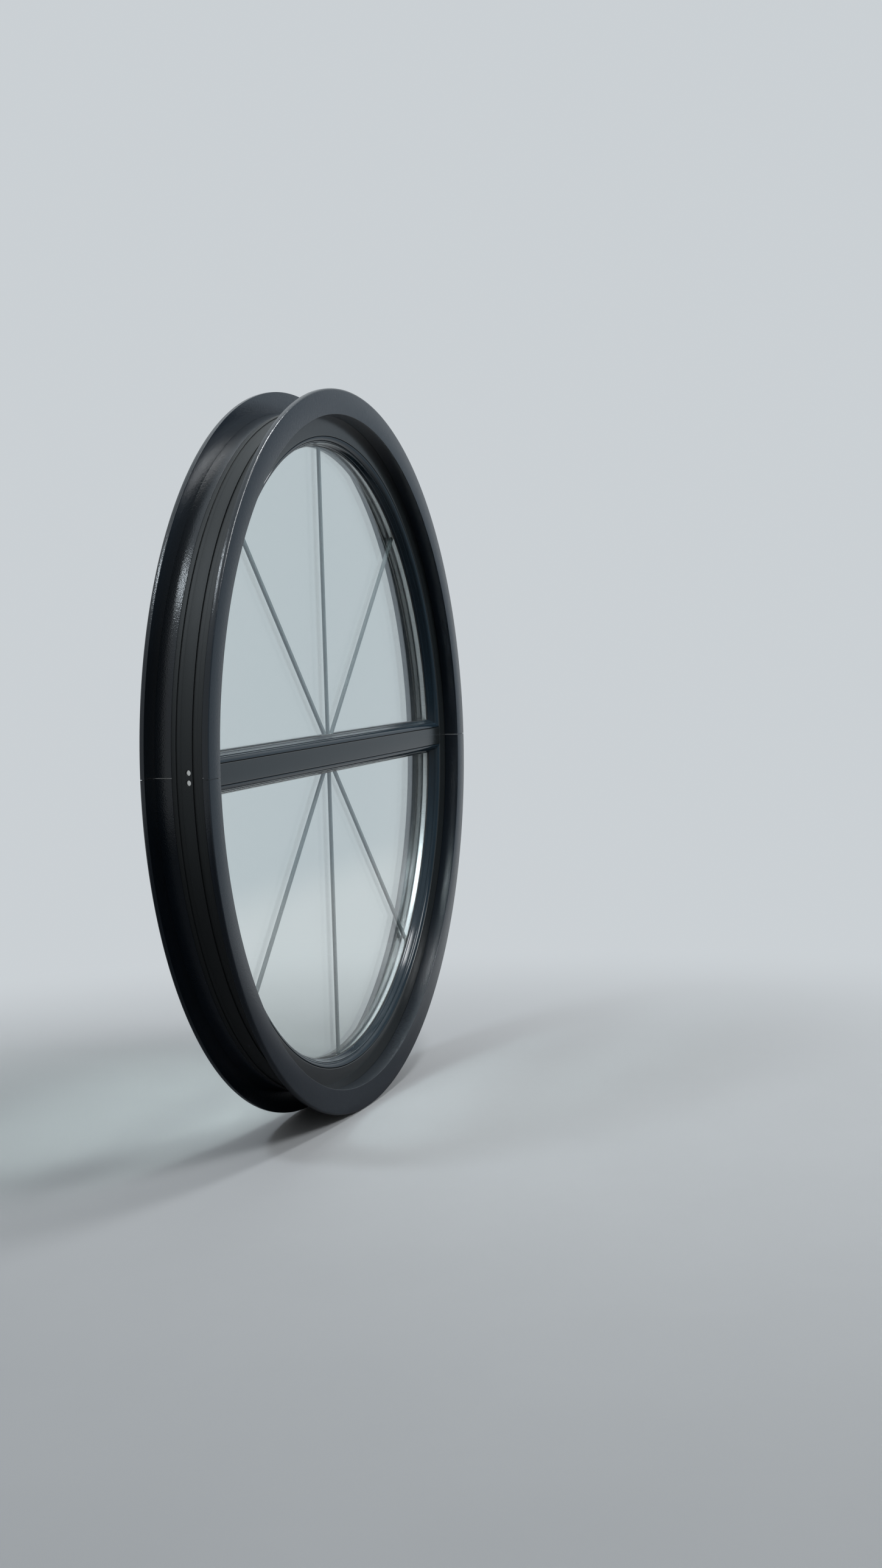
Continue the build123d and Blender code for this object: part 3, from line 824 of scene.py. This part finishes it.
def finish_pieces():
    """A material for each slot of the record, given to all that takes its finish from that slot."""
    foil, moulded, crimped, spangled = foil_grain(), moulded_grain(), crimp_marks(), zinc_spangle()
    made = {
        "frame_foil": surface(
            "frame_foil_film", foil, {"Colour": (0.012, 0.015, 0.016, 1.0), "Gloss": 0.10},
            bump=0.4, distance=0.0003, Specular_IOR_Level=0.45,
        ),
        "casing_foil": surface(
            "casing_foil_film", foil, {"Colour": (0.008, 0.014, 0.022, 1.0), "Gloss": 0.07},
            bump=0.8, distance=0.0004, Specular_IOR_Level=0.42,
        ),
        "bead_foil": surface(
            "bead_foil_film", foil, {"Colour": (0.009, 0.020, 0.030, 1.0), "Gloss": 0.06},
            bump=0.15, Specular_IOR_Level=0.22,
        ),
        "gasket_rubber": surface(
            "seal_rubber", moulded, {"Colour": (0.018, 0.018, 0.019, 1.0), "Gloss": 0.55}, bump=0.3,
        ),
        "clear_glass": float_glass(),
        "spacer_aluminium": surface(
            "spacer_metal", crimped, {"Colour": (0.80, 0.81, 0.82, 1.0)}, bump=0.5, Metallic=1.0,
        ),
        "edge_sealant": surface(
            "edge_sealant_film", moulded,
            {"Colour": (0.03, 0.03, 0.032, 1.0), "Gloss": 0.6, "Grain Scale": 250.0},
        ),
        "bar_paint": surface(
            "bar_satin_paint", moulded,
            {"Colour": (0.070, 0.088, 0.092, 1.0), "Gloss": 0.22, "Variation": 0.12}, bump=0.1,
        ),
        "white_plastic": surface(
            "plug_plastic", moulded, {"Colour": (0.82, 0.83, 0.82, 1.0), "Gloss": 0.35, "Variation": 0.05},
        ),
        "block_plastic": surface(
            "block_plastic_moulded", moulded, {"Colour": (0.05, 0.12, 0.30, 1.0), "Gloss": 0.42},
        ),
        "galvanised_steel": surface("stiffener_zinc_coat", spangled, {}, Metallic=1.0),
        "zinc_casting": surface(
            "connector_cast_metal", moulded,
            {"Colour": (0.45, 0.46, 0.47, 1.0), "Gloss": 0.5, "Grain Scale": 600.0}, bump=0.5, Metallic=1.0,
        ),
        "screw_steel": surface(
            "screw_zinc_coat", moulded,
            {"Colour": (0.62, 0.62, 0.60, 1.0), "Gloss": 0.3, "Grain Scale": 700.0}, Metallic=1.0,
        ),
        "cap_plastic": surface(
            "drain_cap_plastic", moulded,
            {"Colour": (0.040, 0.047, 0.053, 1.0), "Gloss": 0.4, "Grain Scale": 700.0}, bump=0.3,
        ),
    }
    mark_frame(made["frame_foil"])
    for slot, members in finishes.items():
        for member in members:
            member.data.materials.clear()
            member.data.materials.append(made[slot])


# Studio, in metres: a pale floor that runs out into a pale surround, soft lamps and the camera

BACKDROP = (0.595, 0.632, 0.66, 1.0)
DIM_SIDE, DIM_DIRECTION = (0.355, 0.42, 0.475, 1.0), (0.5, -0.866, 0.0)
DIM_START, DIM_FULL = 0.64, 0.80
OVERHEAD = (1.12, 1.22, 1.28, 1.0)
OVERHEAD_START, OVERHEAD_FULL = 0.40, 0.82
FLOOR_HEIGHT = -(CASING_OUTER + 0.2) * MM
FLOOR_RINGS, FLOOR_SPOKES = (1.0, 2.0, 4.0, 8.0, 14.0), 96
FLOOR_DARKER, FLOOR_LIGHTER = (0.53, 0.54, 0.55, 1.0), (0.57, 0.58, 0.59, 1.0)
# Painted shade: the floor's colour in reflections and in the light it bounces, darker than it is seen
# straight
FLOOR_SHADE_IN_MIRRORS, FLOOR_SHADE_FOR_BOUNCES = (0.16, 0.16, 0.17, 1.0), (0.18, 0.18, 0.18, 1.0)
DIM_FLOOR_START, DIM_FLOOR_FULL = -1.15, -1.9
FADE_CENTRE, FADE_START, FADE_END = (-1.0, -0.5, -0.75), 1.3, 3.2
COOL_WHITE, SKY_WHITE, FILL_STRENGTH = (0.95, 0.98, 1.0), (0.84, 0.93, 1.0), 0.24
CAMERA_PLACE, CAMERA_ANGLES = (-4.0217, -1.5582, 0.2421), (71.962, -4.178, -1.680)
FOCAL_LENGTH, SENSOR_WIDTH = 47.13, 36.0
CLIP_START, CLIP_END = 0.05, 60.0


def seen_background(net, rays):
    """1 for the rays that look at the surround: straight, mirrored or through glass."""
    seen = net.math("MAXIMUM", rays["Is Camera Ray"], rays["Is Glossy Ray"])
    return net.math("MAXIMUM", seen, rays["Is Transmission Ray"])


def surround_tone():
    """The surround by direction: pale all round, dimmer at the front right and bright overhead."""
    tree, net, given, result = group(
        "surround_tone",
        {"Direction": (0.0, 1.0, 0.0), "Pale": BACKDROP, "Dim": DIM_SIDE, "Overhead": OVERHEAD, "Share": 1.0},
        {"Colour": "Color"},
    )
    unit = net.add("VectorMath", operation="NORMALIZE")
    net.join(given["Direction"], unit.inputs[0])
    toward = net.add("VectorMath", operation="DOT_PRODUCT")
    net.join(unit.outputs[0], toward.inputs[0])
    toward.inputs[1].default_value = DIM_DIRECTION
    share = net.math("MULTIPLY", net.ramp(toward.outputs["Value"], DIM_START, DIM_FULL), given["Share"])
    level = net.between(share, given["Pale"], given["Dim"])
    above = net.ramp(net.split(unit.outputs[0])["Z"], OVERHEAD_START, OVERHEAD_FULL)
    net.join(net.between(above, level, given["Overhead"]), result["Colour"])
    return tree


def floor_disc():
    """A flat disc of spokes and rings under the window."""
    height = FLOOR_HEIGHT / MM
    points, faces = [(0.0, 0.0, height)], []
    for radius in FLOOR_RINGS:
        for k in range(FLOOR_SPOKES):
            angle = math.tau * k / FLOOR_SPOKES
            points.append((radius * math.cos(angle) / MM, radius * math.sin(angle) / MM, height))
    for k in range(FLOOR_SPOKES):
        beside = (k + 1) % FLOOR_SPOKES
        faces.append((0, 1 + k, 1 + beside))
        for band in range(len(FLOOR_RINGS) - 1):
            a, b = 1 + band * FLOOR_SPOKES, 1 + (band + 1) * FLOOR_SPOKES
            faces.append((a + k, b + k, b + beside, a + beside))
    return piece("studio_floor", points, faces)


def floor_finish(tone):
    """A pale floor that fades into the surround, with painted shade: it is darker in mirrors and for bounced
    light.
    """
    made, net, shader = node_material("pale_floor")
    shader.inputs["Specular IOR Level"].default_value = 0.1
    place, rays = net.place(), net.add("LightPath").outputs
    seen = seen_background(net, rays)
    mottle = net.noise(place, scale=3.0, detail=4.0)
    shown = net.between(mottle, FLOOR_DARKER, FLOOR_LIGHTER)
    # Painted shade in reflections and bounced light, which darkens the window's lower faces and what they
    # mirror
    mirrored = net.math("SUBTRACT", rays["Is Glossy Ray"], rays["Is Transmission Ray"], clamp=True)
    shown = net.between(mirrored, shown, FLOOR_SHADE_IN_MIRRORS)
    net.join(net.between(seen, FLOOR_SHADE_FOR_BOUNCES, shown), shader.inputs["Base Color"])
    net.join(net.plus(0.6, mottle, share=0.2), shader.inputs["Roughness"])
    surround = net.add("Group", node_tree=tone)
    net.join(place, surround.inputs["Direction"])
    net.join(net.ramp(net.split(place)["Y"], DIM_FLOOR_START, DIM_FLOOR_FULL), surround.inputs["Share"])
    glow = net.add("Emission")
    net.join(surround.outputs["Colour"], glow.inputs["Color"])
    distance = net.add("VectorMath", operation="DISTANCE")
    net.join(place, distance.inputs[0])
    distance.inputs[1].default_value = FADE_CENTRE
    fade = net.ramp(distance.outputs["Value"], FADE_START, FADE_END)
    net.blend(net.math("MULTIPLY", fade, seen), shader.outputs[0], glow.outputs[0], "Material Output")
    return made


def lay_floor(tone):
    """The floor is part of the studio and not of the window."""
    floor = floor_disc()
    floor.data.materials.append(floor_finish(tone))


def light_world(tone):
    """Plain soft fill light, with the surround's tones for the rays that look at it."""
    world = bpy.data.worlds.new("pale_surround")
    bpy.context.scene.world = world
    world.use_nodes = True
    net, fill = Nodes(world.node_tree), world.node_tree.nodes["Background"]
    fill.inputs["Color"].default_value = (*COOL_WHITE, 1.0)
    fill.inputs["Strength"].default_value = FILL_STRENGTH
    surround = net.add("Group", node_tree=tone)
    net.join(net.add("TexCoord").outputs["Generated"], surround.inputs["Direction"])
    shown = net.add("Background")
    net.join(surround.outputs["Colour"], shown.inputs["Color"])
    seen = seen_background(net, net.add("LightPath").outputs)
    net.blend(seen, fill.outputs[0], shown.outputs[0], "World Output")


def hang_lamp(name, place, target, size, power, colour=COOL_WHITE, through_glass=False):
    """A soft rectangular lamp that points at its target. Only some are seen through the glass."""
    lamp = bpy.data.lights.new(name, "AREA")
    lamp.shape = "RECTANGLE"
    lamp.size, lamp.size_y = size
    lamp.energy, lamp.color = power, colour
    hung = add_object(name, lamp)
    hung.location = place
    hung.rotation_euler = (Vector(target) - Vector(place)).to_track_quat("-Z", "Y").to_euler()
    hung.visible_camera = False
    hung.visible_transmission = through_glass


def hang_lamps():
    hang_lamp(
        "top_lamp", place=(0.3, -0.8, 2.05), target=(0.0, 0.0, 0.2), size=(0.6, 0.3), power=17.0,
    )
    hang_lamp(
        "front_lamp", place=(1.2, -3.9, 2.9), target=(0.0, 0.0, 0.0), size=(2.0, 1.5), power=112.0,
    )
    hang_lamp(
        "back_lamp", place=(-2.9, 1.9, 4.3), target=(0.3, 0.0, -0.3), size=(1.0, 0.6), power=62.0,
        colour=SKY_WHITE, through_glass=True,
    )


def set_camera():
    """The camera stands far to the left of the window, on its inner side, and looks across its face."""
    yaw, tilt, roll = (math.radians(angle) for angle in CAMERA_ANGLES)
    ahead = Vector((math.sin(yaw) * math.cos(tilt), math.cos(yaw) * math.cos(tilt), math.sin(tilt)))
    right = Vector((math.cos(yaw), -math.sin(yaw), 0.0))
    up = right.cross(ahead)
    right, up = right * math.cos(roll) + up * math.sin(roll), up * math.cos(roll) - right * math.sin(roll)
    lens = bpy.data.cameras.new("viewpoint")
    lens.lens, lens.sensor_width, lens.sensor_fit = FOCAL_LENGTH, SENSOR_WIDTH, "AUTO"
    lens.clip_start, lens.clip_end = CLIP_START, CLIP_END
    camera = add_object("viewpoint", lens)
    axes = Matrix((right, up, -ahead)).transposed().to_4x4()
    camera.matrix_world = Matrix.Translation(CAMERA_PLACE) @ axes
    bpy.context.scene.camera = camera


dress_window()
finish_pieces()
tone = surround_tone()
lay_floor(tone)
light_world(tone)
hang_lamps()
set_camera()
bpy.context.scene.view_settings.view_transform = "Standard"
